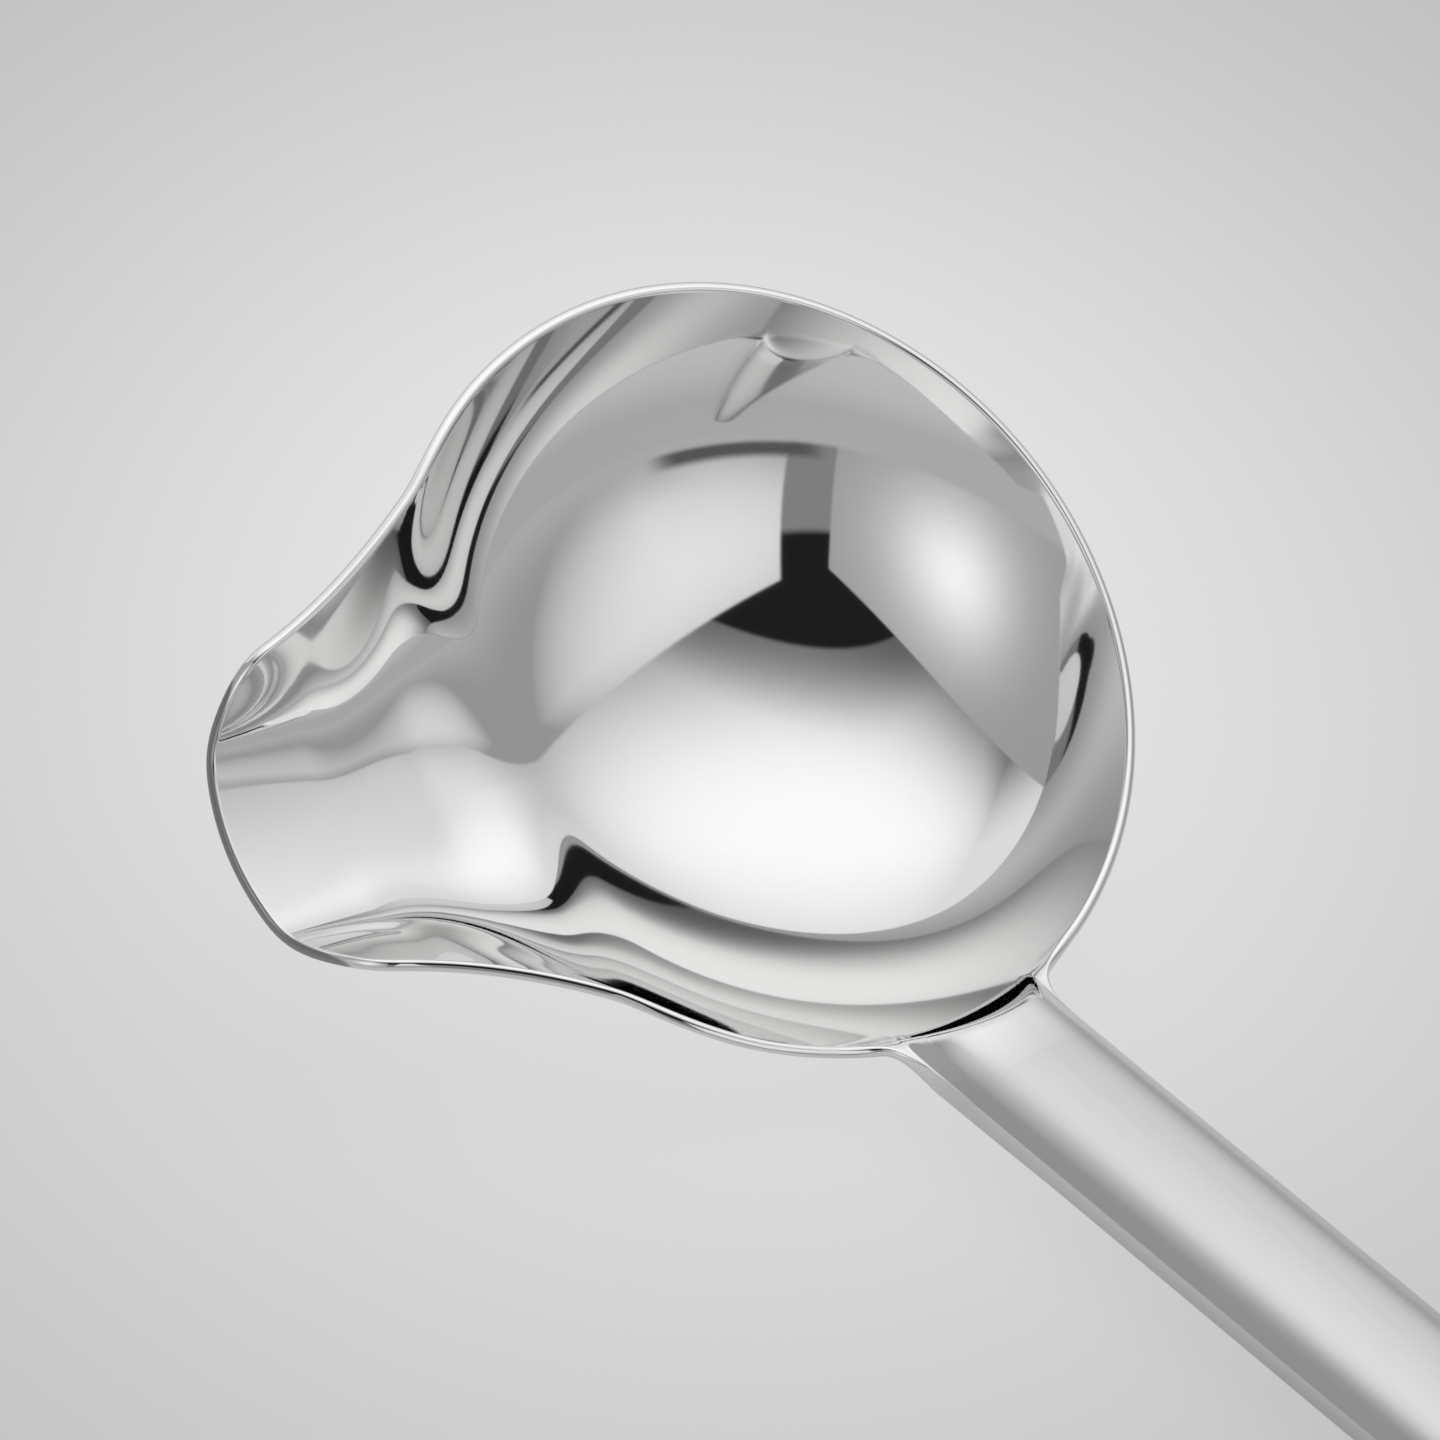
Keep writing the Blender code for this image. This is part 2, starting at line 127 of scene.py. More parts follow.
class LadleSpoutSizes(bpy.types.PropertyGroup):
    """Spout"""

    turn: angle("Turn", "Direction of the spout from the handle, seen from above", -97.0)
    reach: length("Reach", "Bowl centre to the middle of the lip", 0.0499)
    lip_width: length("Lip width", "Between the inside faces of the lip's corners", 0.0251)
    lip_drop: length("Lip drop", "Middle of the lip below the rim", 0.0112)
    lip_dip: length("Lip dip", "Corners of the lip below the rim", 0.0052)
    dip_start: length("Dip start", "Distance from the centre where the edge starts to dip", 0.019)
    lip_bow: length("Lip bow", "Radius of the lip's edge seen from above", 0.0244)
    lip_corner: length("Lip corner", "Rounding of the lip's corners", 0.003)
    floor_angle: angle("Floor angle", "Fall of the spout's floor toward the bowl", 10.5)
    flank_angle: angle("Flank angle", "Opening of each flank at the lip", 9.0)
    flank_radius: length("Flank radius", "Sweep of each flank back to the round rim", 0.0413)
    widest: length("Widest", "Half width at which the channel stops widening inside the bowl", 0.034)
    floor_width: length("Floor width", "Flat part of the spout's floor", 0.018)
    root_width: length("Root width", "Width of the floor where the channel leaves the bowl", 0.0225)
    floor_bow: number("Floor bow", "Share of the channel's depth that its floor's bow takes", 0.15)
    lip_round: number("Lip round", "The same share at the lip, where the floor is rounder", 0.22)
    side_fold: share("Side fold", "Softness of the fold from the floor up into the sides", 0.9)
    root: length("Root", "Distance from the centre where the channel leaves the bowl", 0.028)
    fade: length("Fade", "How quickly the channel ends inside the bowl", 0.028)
    saddle: length("Saddle", "Softness of the saddle between bowl and channel", 0.004)


class LadleNeckSizes(bpy.types.PropertyGroup):
    """Neck"""

    length: length("Length", "Rim to the seam with the handle", 0.0075)
    bend: length("Bend", "Softness of the bend", 0.0025)
    fillet: length("Fillet", "Webs between the rim and the handle's sides", 0.0065)
    sink: length("Sink", "The neck starts to rise this far inside the rim", 0.0011)
    ease: length("Ease", "Length over which the rise sets in", 0.0012)
    turn: length("Turn", "Length over which the sheet thickens into the handle's sides", 0.00375)


class LadleHandleSizes(bpy.types.PropertyGroup):
    """Handle"""

    rise: angle("Rise", "Handle above the rim plane", 34.5)
    length: length("Length", "Seam to tip", 0.19)
    neck_width: length("Neck width", "Width at the seam", 0.015)
    tip_width: length("Tip width", "Width at the hanging end", 0.018)
    widen_from: length("Widen from", "The handle is parallel up to here", 0.045)
    crown: length("Crown", "Arch of the upper face over its edges", 0.0028)
    crown_square: share("Crown square", "Share of the arch that falls off only near the edges", 0.46)
    crown_ease: share("Crown ease", "Share of the arch that runs out beyond the edge", 0.08)
    side: length("Side", "Turned-down sides", 0.002)
    sheet: length("Sheet", "Pressed sheet of both shells", 0.0009)
    gap: length("Gap", "Fine line between the back plate and the sides", 0.0003)
    crease: length("Crease", "Rounding where the upper face turns into the sides", 0.0003)
    stations: count("Stations", "Faces along the handle", 90)
    arch_steps: count("Arch steps", "Faces across the arch", 48)


class LadleEndSizes(bpy.types.PropertyGroup):
    """Hanging end"""

    length: length("Length", "Solid end piece", 0.026)
    eye_width: length("Eye width", "Across the hanging eye", 0.007)
    eye_length: length("Eye length", "Along the hanging eye", 0.013)
    eye_to_tip: length("Eye to tip", "Metal left between the eye and the tip", 0.004)
    edge: length("Edge", "Rounding of the edges", 0.0006)


class LadleFinish(bpy.types.PropertyGroup):
    """Finish"""

    polished: tint("Polished steel", "Colour of the mirror polished bowl", (0.80, 0.80, 0.795))
    satin: tint("Satin steel", "Colour of the satin handle", (0.68, 0.68, 0.675))
    # Painted shade: the cut lip's colour is darkened to stand in for the shaded table it would reflect.
    lip_painted_shade: share("Cut tone", "Brightness of the cut lip beside the polished face", 0.4)
    satin_from: length("Satin from", "The polish starts to turn satin this far beyond the rim", 0.002)
    polish_roughness: share("Polish roughness", "Blur of the polished face", 0.035)
    satin_roughness: share("Satin roughness", "Blur of the satin face", 0.15)
    brushing: share("Brushing", "Strength of the brushed lines", 0.12)
    back_brushing: share("Back brushing", "Strength of the brushed lines on the back plate", 0.2)


class LadleStage(bpy.types.PropertyGroup):
    """Stage"""

    view_azimuth: angle("View azimuth", "Camera round the table, from the spout's side", 46.056)
    view_elevation: angle("View elevation", "Camera above the table", 37.708)
    view_roll: angle("View roll", "Turn of the picture", 5.772)
    view_distance: length("View distance", "Camera to the rim's centre", 0.8)
    aim_right: length("Aim right", "Rim's centre to the right of the picture's middle", 0.004601)
    aim_up: length("Aim up", "Rim's centre above the picture's middle", 0.00481)
    lens: number("Lens", "Focal length in millimetres on a 36 mm sensor", 233.025)
    table_radius: length("Table radius", "Round table under the ladle", 0.6)
    # The table's colour holds a painted pool of light: the table tone in its middle, falling to the darker
    # far tone away from it.
    table: tint("Table", "Pale table in the middle", (0.86, 0.86, 0.86))
    table_far: tint("Table far", "Pale table away from the middle", (0.55, 0.55, 0.55))
    painted_pool_radius: length("Pool radius", "Size of the brighter pool around the ladle", 0.087)
    painted_pool_shift: length("Pool shift", "Pool's middle beyond the picture's middle", 0.009)
    painted_pool_squash: number("Pool squash", "How much shorter the pool is from front to back", 1.18)
    painted_pool_fall: number("Pool fall", "Above 1 the pool's tone reaches the far tone within the table", 1.15)
    # Both shares show that painted tone as the table's own glow; the rest is lit and keeps the shadow.
    own_tone: share("Own tone", "Share of its plain tone that the table shows, the rest is lit", 0.82)
    mirrored_tone: share("Mirrored tone", "The same share in the steel's reflections", 0.5)


class LadleTent(bpy.types.PropertyGroup):
    """Light tent"""

    level: number("Level", "Brightness of the whole tent", 0.9)
    gap_turn: angle("Gap turn", "Direction of the gap that the camera looks through", 70.0)
    gap_top: number("Gap top", "Slope of the gap's upper edge", 1.327)
    gap_arch: number("Gap arch", "How fast the upper edge falls to the sides", 0.58)
    gap_dark: number("Gap dark", "Brightness of the open gap", 0.016)
    gap_low: number("Gap low", "Brightness below the open gap", 0.29)
    ceiling_turn: angle("Ceiling turn", "Direction of the ceiling's brightest place", 195.0)
    ceiling_height: angle("Ceiling height", "Height of the ceiling's brightest place", 66.0)
    ceiling_bright: number("Ceiling bright", "Brightness there", 1.33)
    ceiling_dim: number("Ceiling dim", "Brightness far from there", 0.315)
    wall_turn: angle("Wall turn", "Direction of the back wall", 242.0)
    wall_low: number("Wall low", "Brightness at the wall's foot", 0.45)
    wall_high: number("Wall high", "Brightness at the wall's top", 0.98)
    right_turn: angle("Right turn", "Direction of the lamp behind the right panel", 25.0)
    right_height: angle("Right height", "Height of the lamp behind the right panel", 26.0)
    right_glow: number("Right glow", "Brightness that the lamp adds", 0.77)
    right_dim: number("Right dim", "Brightness of the right panel far from the lamp", 0.44)
    left_turn: angle("Left turn", "Direction of the left panel", 108.0)
    left_bright: number("Left bright", "Brightness of the left panel's middle", 1.03)
    left_dim: number("Left dim", "Least brightness of the left panel", 0.4)
    skirt: number("Skirt", "Brightness along the table", 0.54)
    foot_turn: angle("Foot turn", "Direction of the dark foot line", 84.0)
    foot_dark: number("Foot dark", "Brightness of the dark foot line", 0.12)


def smooth_min(a, b, width):
    """The lower of two heights, blended over a width with continuous curvature."""
    overlap = np.maximum(width - np.abs(a - b), 0.0) / width
    return np.minimum(a, b) - overlap ** 3 * width / 6.0


def smooth_max(a, b, width):
    """The higher of two heights, blended in the same way."""
    return -smooth_min(-a, -b, width)


def smooth_step(t):
    """Smoothly from 0 to 1 while t runs from 0 to 1."""
    t = np.clip(t, 0.0, 1.0)
    return t * t * (3.0 - 2.0 * t)


class LadleShape:
    """Heights and outlines of the ladle in the bowl frame: rim level at z = 0, handle toward +X."""

    profile_steps = 6000    # along the bowl's profile
    outline_steps = 6000    # along a stretch of the outline
    march = 0.0005          # step outward while the outline is looked for
    halvings = 40           # of the last step
    probe = 0.00003         # step to either side of a point for its slope

    def __init__(self, scene):
        self.bowl = scene.ladle_bowl
        self.spout = scene.ladle_spout
        self.neck = scene.ladle_neck
        self.handle = scene.ladle_handle
        self.end = scene.ladle_end
        self.seam_x = self.bowl.rim_radius + self.neck.length
        self.shell_length = self.handle.length - self.end.length
        t = (np.arange(self.profile_steps) + 0.5) / self.profile_steps
        bottom = self.bowl.rim_radius / self.bowl.bottom_radius
        sine = bottom * t + self.bowl.wall_swell * t ** self.bowl.wall_turn
        wall = math.sin(self.bowl.wall_angle) - self.bowl.wall_round * (1.0 - t)
        sine = smooth_min(sine, wall, self.bowl.wall_ease)
        rise = np.cumsum(sine / np.sqrt(1.0 - sine * sine)) * self.bowl.rim_radius / self.profile_steps
        self.profile = np.concatenate(([0.0], rise)) - rise[-1]
        self.profile_radii = np.linspace(0.0, self.bowl.rim_radius, self.profile_steps + 1)

    def bowl_height(self, x, y):
        """The round bowl, with its wall gentler at two opposite places."""
        r = np.hypot(x, y)
        rim = self.bowl.rim_radius
        c, s = math.cos(self.bowl.spread_turn), math.sin(self.bowl.spread_turn)
        along, across = x * c + y * s, y * c - x * s
        inner = np.maximum(1.0 - (r / rim) ** 2, 0.0)
        near = smooth_step(0.5 + along / rim)
        spread = self.bowl.far_spread + (self.bowl.near_spread - self.bowl.far_spread) * near
        along = along * (1.0 + spread * inner) - self.bowl.bottom_shift * inner
        beyond = np.maximum(r - rim, 0.0) * self.bowl.wall_slope
        return np.interp(np.hypot(along, across), self.profile_radii, self.profile) + beyond

    def spout_place(self, x, y):
        """Distances along the spout and across it."""
        c, s = math.cos(self.spout.turn), math.sin(self.spout.turn)
        return x * c + y * s, y * c - x * s

    def edge_height(self, along):
        """The free edge, which dips toward the lip."""
        start = self.spout.dip_start
        return -self.spout.lip_dip * smooth_step((along - start) / (self.spout.reach - start))

    def spout_height(self, x, y):
        """The channel: a bowed floor that folds up into its sides and fades inside the bowl."""
        size = self.spout
        along, across = self.spout_place(x, y)
        back = size.reach - along
        half = size.lip_width / 2.0 + back * math.tan(size.flank_angle)
        half = half + back * back / (2.0 * size.flank_radius)
        half = smooth_min(half, size.widest, size.widest / 6.0)
        floor = -size.lip_drop - back * math.tan(size.floor_angle)
        lift = np.maximum(size.root - along, 0.0) ** 2 / (2.0 * size.fade)
        run = (along - size.root) / (size.reach - size.root)
        widen = smooth_step(run * 2.0)
        foot = (size.root_width + (size.floor_width - size.root_width) * widen) / 2.0
        t = (np.abs(across) - foot) / np.maximum(half - foot, size.lip_corner / 4.0)
        bow = size.floor_bow + (size.lip_round - size.floor_bow) * smooth_step(run)
        rise = bow * (across / half) ** 2 + (1.0 - bow) * smooth_max(t, 0.0, size.side_fold)
        return floor + lift + (self.edge_height(along) - floor) * rise

    def pouring_height(self, x, y):
        return smooth_min(self.bowl_height(x, y), self.spout_height(x, y), self.spout.saddle)

    def half_width(self, s):
        """Half of the handle's width at a distance from the seam."""
        size = self.handle
        t = smooth_step((s - size.widen_from) / (size.length - size.widen_from))
        return (size.neck_width + (size.tip_width - size.neck_width) * t) / 2.0

    def crown(self, across, half):
        """The arch over the handle's edges."""
        size = self.handle
        u = (across / half) ** 2
        fall = (1.0 - size.crown_square) * u + size.crown_square * u * u
        return size.crown * smooth_max(1.0 - fall, 0.0, size.crown_ease)

    def neck_height(self, x, y):
        """The arched neck, rising out of the rim toward the handle."""
        size = self.neck
        start = self.bowl.rim_radius - size.sink
        ease = size.ease * np.log1p(np.exp((x - start) / size.ease))
        lift = np.maximum(start - x, 0.0) ** 2 / (2.0 * size.sink)
        arch = self.crown(y, self.handle.neck_width / 2.0) / math.cos(self.handle.rise)
        return math.tan(self.handle.rise) * ease + arch + lift

    def top_height(self, x, y):
        pouring = self.pouring_height(x, y)
        necked = smooth_min(pouring, self.neck_height(x, y), self.neck.bend)
        return np.where(x > 0.0, necked, pouring)

    def outside(self, x, y):
        """Rough distance outside the bowl's outline seen from above, negative inside."""
        along, across = self.spout_place(x, y)
        rim = (self.pouring_height(x, y) - self.edge_height(along)) / self.bowl.wall_slope
        lip = along - self.spout.reach + across * across / (2.0 * self.spout.lip_bow)
        pouring = smooth_max(rim, lip, self.spout.lip_corner)
        half = self.handle.neck_width / 2.0
        seam = x - self.seam_x + self.crown(y, half) * math.sin(self.handle.rise)
        necked = np.maximum(smooth_min(pouring, np.abs(y) - half, self.neck.fillet), seam)
        return np.where(x > 0.0, necked, pouring)

    def outline_radius(self, angles):
        """Distance of the outline from the centre in each direction."""
        c, s = np.cos(angles), np.sin(angles)
        far = np.full(len(angles), self.bowl.rim_radius / 2.0)
        inside = self.outside(far * c, far * s) < 0.0
        while inside.any():
            far = np.where(inside, far + self.march, far)
            inside &= self.outside(far * c, far * s) < 0.0
        near = far - self.march
        for _ in range(self.halvings):
            middle = (near + far) / 2.0
            inside = self.outside(middle * c, middle * s) < 0.0
            near = np.where(inside, middle, near)
            far = np.where(inside, far, middle)
        return (near + far) / 2.0

    def spread(self, first, last, steps):
        """Angles that divide a stretch of the outline into equal lengths, without the last one."""
        fine = np.linspace(first, last, self.outline_steps)
        radius = self.outline_radius(fine)
        x, y = radius * np.cos(fine), radius * np.sin(fine)
        run = np.concatenate(([0.0], np.cumsum(np.hypot(np.diff(x), np.diff(y)))))
        return np.interp(np.arange(steps) / steps * run[-1], run, fine)

    def top_normal(self, x, y):
        e = self.probe
        slope_x = (self.top_height(x + e, y) - self.top_height(x - e, y)) / (2.0 * e)
        slope_y = (self.top_height(x, y + e) - self.top_height(x, y - e)) / (2.0 * e)
        normal = np.stack([-slope_x, -slope_y, np.ones_like(slope_x)], -1)
        return normal / np.linalg.norm(normal, axis=-1, keepdims=True)

    def handle_frame(self):
        """Matrix from distance along the handle, across it and above its edges to the bowl frame."""
        height = float(self.neck_height(self.seam_x, self.handle.neck_width * 2.0))
        turn = Matrix.Rotation(-self.handle.rise, 4, "Y")
        return Matrix.Translation((self.seam_x, 0.0, height)) @ turn

    def rest_frame(self):
        """Matrix from the bowl frame to the table, found from the packed back plate."""
        low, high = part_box("handle_back_plate")
        run = self.shell_length - self.handle.gap
        deep = self.handle.sheet
        size_x, size_z = high.x - low.x, high.z - low.z
        slope = (size_z * run - size_x * deep) / (run * run - deep * deep)
        lean = self.handle.rise + math.asin(slope)
        turn = Matrix.Rotation(lean, 4, "Y")
        start = turn @ self.handle_frame() @ Vector((self.handle.gap, 0.0, -self.handle.side))
        place = Vector((low.x - start.x, (low.y + high.y) / 2.0 - start.y, 0.0))
        end = turn @ self.handle_frame() @ Vector((self.shell_length, 0.0, -self.handle.side))
        place.z = low.z - end.z
        return Matrix.Translation(place) @ turn


class Signal:
    """A shader socket that takes part in Python arithmetic."""

    def __init__(self, tree, socket=None):
        self.tree = tree
        self.socket = socket

    def add(self, kind, settings=None, inputs=None, output=0):
        """A new node: its settings first, then its sockets, and one of its outputs as a signal."""
        node = self.tree.nodes.new(kind)
        for name, value in (settings or {}).items():
            setattr(node, name, value)
        for name, value in (inputs or {}).items():
            if isinstance(value, Signal):
                self.tree.links.new(value.socket, node.inputs[name])
            else:
                node.inputs[name].default_value = value
        return Signal(self.tree, node.outputs[output] if node.outputs else None)

    def output(self, name):
        """Another output of the same node."""
        return Signal(self.tree, self.socket.node.outputs[name])

    def math(self, operation, *values):
        return self.add("ShaderNodeMath", {"operation": operation}, dict(enumerate(values)))

    def __add__(self, other):
        return self.math("ADD", self, other)

    def __radd__(self, other):
        return self.math("ADD", other, self)

    def __sub__(self, other):
        return self.math("SUBTRACT", self, other)

    def __rsub__(self, other):
        return self.math("SUBTRACT", other, self)

    def __mul__(self, other):
        return self.math("MULTIPLY", self, other)

    def __rmul__(self, other):
        return self.math("MULTIPLY", other, self)

    def __truediv__(self, other):
        return self.math("DIVIDE", self, other)

    def __rtruediv__(self, other):
        return self.math("DIVIDE", other, self)

    def ramp(self, low, high, first=0.0, last=1.0):
        """A smooth change from first to last while this runs from low to high."""
        return self.add("ShaderNodeMapRange", {"interpolation_type": "SMOOTHSTEP"},
                        {0: self, 1: low, 2: high, 3: first, 4: last})

    def over(self, width):
        """Smoothly 0 below zero and 1 above it, over a width."""
        return self.ramp(-width, width)

    def blend(self, other, mask):
        """This value where the mask is 0, the other where it is 1."""
        return self.add("ShaderNodeMix", {"data_type": "FLOAT"}, {0: mask, 2: self, 3: other})

    def split(self):
        parts = self.add("ShaderNodeSeparateXYZ", None, {0: self})
        return [parts.output(k) for k in range(3)]

    def tinted(self, low, high):
        """A colour between two colours, with this as the share of the second."""
        return self.add("ShaderNodeMix", {"data_type": "RGBA"},
                        {0: self, 6: (*low, 1.0), 7: (*high, 1.0)}, 2)

    def over_tint(self, colour, mask):
        """This colour where the mask is 0, a plain colour where it is 1."""
        return self.add("ShaderNodeMix", {"data_type": "RGBA"},
                        {0: mask, 6: self, 7: (*colour, 1.0)}, 2)


def fresh_graph(owner):
    """An empty node tree to add to."""
    owner.use_nodes = True
    owner.node_tree.nodes.clear()
    return Signal(owner.node_tree)


def shade(colour, amount):
    return tuple(channel * amount for channel in colour)


def local_place(graph, matrix):
    """Positions in the frame that a piece was drawn in."""
    place = graph.add("ShaderNodeTexCoord", None, None, "Object")
    return graph.add("ShaderNodeMapping", {"vector_type": "TEXTURE"},
                     {"Vector": place, "Location": matrix.to_translation(), "Rotation": matrix.to_euler()})


def noise(graph, place, scale, detail, roughness):
    return graph.add("ShaderNodeTexNoise", None,
                     {"Vector": place, "Scale": scale, "Detail": detail, "Roughness": roughness})


def polished_steel(shape, finish, matrix):
    """Mirror polish with a faint haze and fine rubbing lines, satin on the neck, and painted shade on the cut
    lip.
    """
    material = bpy.data.materials.new("polished steel")
    graph = fresh_graph(material)
    place = local_place(graph, matrix)
    x, y, z = place.split()
    radius = graph.math("SQRT", x * x + y * y)
    turn = graph.math("ARCTAN2", y, x)
    rubbed = graph.add("ShaderNodeCombineXYZ", None,
                       {0: radius * RUBBED[0], 1: turn * RUBBED[1], 2: z * RUBBED[2]})
    lines = noise(graph, rubbed, 1.0, 3.0, 0.6)
    haze = noise(graph, place, 70.0, 4.0, 0.55)
    satin = x.ramp(shape.bowl.rim_radius + finish.satin_from, shape.seam_x)
    along, across = shape.spout_place(x, y)
    lip = along - shape.spout.reach + across * across / (2.0 * shape.spout.lip_bow)
    # Painted shade on the cut lip: only its colour is darker.
    cut = lip.ramp(*LIP_SHADE_SPAN)
    mirror = finish.polish_roughness * (0.7 + 0.5 * haze + 0.25 * lines)
    roughness = mirror + satin * (finish.satin_roughness - mirror)
    tone = (0.65 * haze + 0.35 * lines).tinted(shade(finish.polished, 0.97), shade(finish.polished, 1.03))
    tone = tone.over_tint(finish.satin, satin).over_tint(shade(finish.polished, finish.lip_painted_shade), cut)
    steel = graph.add("ShaderNodeBsdfPrincipled", None,
                      {"Base Color": tone, "Metallic": 1.0, "Roughness": roughness})
    graph.add("ShaderNodeOutputMaterial", None, {"Surface": steel})
    return material


def satin_steel(name, finish, matrix, depth):
    """Satin steel, brushed along the handle."""
    material = bpy.data.materials.new(name)
    graph = fresh_graph(material)
    place = local_place(graph, matrix)
    long_way = graph.add("ShaderNodeMapping", None, {"Vector": place, "Scale": BRUSHED})
    brushed = noise(graph, long_way, 1.0, 4.0, 0.62)
    cloud = noise(graph, place, 45.0, 3.0, 0.5)
    roughness = finish.satin_roughness * (0.72 + 0.36 * brushed + 0.2 * cloud)
    tone = (0.6 * brushed + 0.4 * cloud).tinted(shade(finish.satin, 0.95), shade(finish.satin, 1.05))
    bump = graph.add("ShaderNodeBump", None, {"Strength": depth, "Distance": BRUSH_DEPTH, "Height": brushed})
    steel = graph.add("ShaderNodeBsdfPrincipled", None,
                      {"Base Color": tone, "Metallic": 1.0, "Roughness": roughness, "Normal": bump})
    graph.add("ShaderNodeOutputMaterial", None, {"Surface": steel})
    return material


def new_piece(name, mesh, material, matrix):
    """A piece in its place on the ladle, standing for the packed node of the same name."""
    mesh.transform(matrix)
    mesh.materials.append(material)
    mesh.shade_smooth()
    mesh.set_sharp_from_angle(angle=SHARP_EDGE)
    piece = bpy.data.objects.new(name + "_finished", mesh)
    bpy.context.scene.collection.objects.link(piece)
    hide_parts(name)
    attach(piece, BODY)


def mesh_from(name, points, faces):
    """A mesh whose faces all look outward."""
    mesh = bpy.data.meshes.new(name)
    mesh.from_pydata([tuple(p) for p in points], [], faces)
    bm = bmesh.new()
    bm.from_mesh(mesh)
    bmesh.ops.recalc_face_normals(bm, faces=bm.faces)
    bm.to_mesh(mesh)
    bm.free()
    return mesh


def loft(name, sections):
    """A closed body through closed sections with equal numbers of points."""
    size = len(sections[0])
    points = [p for section in sections for p in section]
    faces = []
    for k in range(len(sections) - 1):
        for i in range(size):
            j = (i + 1) % size
            faces.append((k * size + i, k * size + j, (k + 1) * size + j, (k + 1) * size + i))
    faces.append(tuple(range(size)))
    last = (len(sections) - 1) * size
    faces.append(tuple(range(last, last + size)))
    return mesh_from(name, points, faces)


def bowl_mesh(shape):
    """The bowl, spout and neck as one sheet with a rounded edge."""
    bowl, handle = shape.bowl, shape.handle
    half = handle.neck_width / 2.0
    corner = math.atan2(half, shape.seam_x - float(shape.crown(half, half)) * math.sin(handle.rise))
    rim_angles = shape.spread(corner, 2.0 * math.pi - corner, bowl.rim_steps)
    angles = np.concatenate((rim_angles, shape.spread(-corner, corner, bowl.seam_steps)))
    radii = shape.outline_radius(angles)
    c, s = np.cos(angles)[:, None], np.sin(angles)[:, None]

    fine = np.linspace(0.0, 1.0, RING_STEPS) * radii[:, None]
    heights = shape.top_height(fine * c, fine * s)
    steps = np.hypot(np.diff(fine, axis=1), np.diff(heights, axis=1))
    run = np.concatenate((np.zeros((len(angles), 1)), np.cumsum(steps, axis=1)), axis=1)
    shares = 1.0 - (1.0 - np.arange(1, bowl.rings + 1) / bowl.rings) ** RING_CROWD
    places = np.array([np.interp(shares * run[i, -1], run[i], fine[i]) for i in range(len(angles))])
    x, y = places * c, places * s
    normal = shape.top_normal(x, y)
    top = np.stack([x, y, shape.top_height(x, y)], -1)
    neck = smooth_step((x - bowl.rim_radius) / shape.neck.turn)[..., None]
    up = np.array([-math.sin(handle.rise), 0.0, math.cos(handle.rise)])
    through = normal * (1.0 - neck) + up * neck
    through /= np.linalg.norm(through, axis=-1, keepdims=True)
    under = top - through * (bowl.sheet + (handle.side - bowl.sheet) * neck)

    inner, outer = top[:, -1], under[:, -1]
    along = np.roll(inner, -1, 0) - np.roll(inner, 1, 0)
    outward = np.cross(along, normal[:, -1])
    outward /= np.linalg.norm(outward, axis=1, keepdims=True)
    swell = bowl.edge_swell * (1.0 - neck[:, -1])
    swell[bowl.rim_steps:] = 0.0
    middle = (inner + outer) / 2.0
    thick = np.linalg.norm(inner - outer, axis=1, keepdims=True) / 2.0
    edge = []
    for k in range(1, bowl.edge_steps):
        turn = math.pi * k / bowl.edge_steps
        edge.append(middle + math.cos(turn) * (inner - middle) + math.sin(turn) * swell * thick * outward)
    skin = np.concatenate((top, np.stack(edge, 1), under[:, ::-1]), axis=1)

    spokes, rows = skin.shape[:2]
    centre_top = np.array([[0.0, 0.0, float(shape.top_height(np.float64(0.0), np.float64(0.0)))]])
    centre_under = centre_top - np.array([[0.0, 0.0, bowl.sheet]])
    points = np.concatenate((skin.reshape(-1, 3), centre_top, centre_under))
    pole_top, pole_under = spokes * rows, spokes * rows + 1
    faces = []
    for i in range(spokes):
        a, b = i * rows, (i + 1) % spokes * rows
        faces.append((pole_top, a, b))
        faces.append((pole_under, b + rows - 1, a + rows - 1))
        for k in range(rows - 1):
            faces.append((a + k, a + k + 1, b + k + 1, b + k))
    return mesh_from("bowl", points, faces)


def shell_section(shape, s):
    """Section of the upper shell: an arch with turned-down sides, open below."""
    size = shape.handle
    half = float(shape.half_width(s))
    inner = half - size.sheet
    crease = size.crease * float(smooth_step(s / CREASE_RUN)) + CREASE_LEAST
    arch = np.linspace(-1.0, 1.0, size.arch_steps + 1)
    edge = float(shape.crown(half, half))
    flank = [(half - inward * crease, -size.side + up * crease) for inward, up in LOWER_ROUND]
    flank += [(half - inward * crease, edge + up * crease) for inward, up in UPPER_ROUND]
    outline = [(-across, up) for across, up in flank]
    outline += [(p, float(shape.crown(p, half))) for p in arch * (half - crease)]
    outline += flank[::-1]
    outline.append((inner, -size.side))
    outline += [(p, float(shape.crown(p, half)) - size.sheet) for p in arch[::-4] * inner]
    outline.append((-inner, -size.side))
    return [(s, across, up) for across, up in outline]


def plate_section(shape, s):
    """Section of the flat back plate with softened edges."""
    size = shape.handle
    half = float(shape.half_width(s)) - size.sheet - size.gap / 2.0
    top, low = size.sheet - size.side, -size.side
    soft = size.crease / 2.0
    outline = [(-half, top), (half, top), (half, low + soft), (half - soft, low), (soft - half, low),
               (-half, low + soft)]
    return [(s, across, up) for across, up in outline]


def end_section(shape, s):
    """Section of the solid end: the arch over a flat back."""
    size = shape.handle
    half = float(shape.half_width(s))
    places = np.linspace(-half, half, size.arch_steps + 1)
    outline = [(p, float(shape.crown(p, half))) for p in places]
    outline += [(half, -size.side), (-half, -size.side)]
    return [(s, across, up) for across, up in outline]


def arc(centre, radius, first, last, steps=32):
    """Points on an arc about a place along the handle."""
    turns = np.linspace(first, last, steps + 1)
    return [(centre + radius * math.cos(t), radius * math.sin(t)) for t in turns]


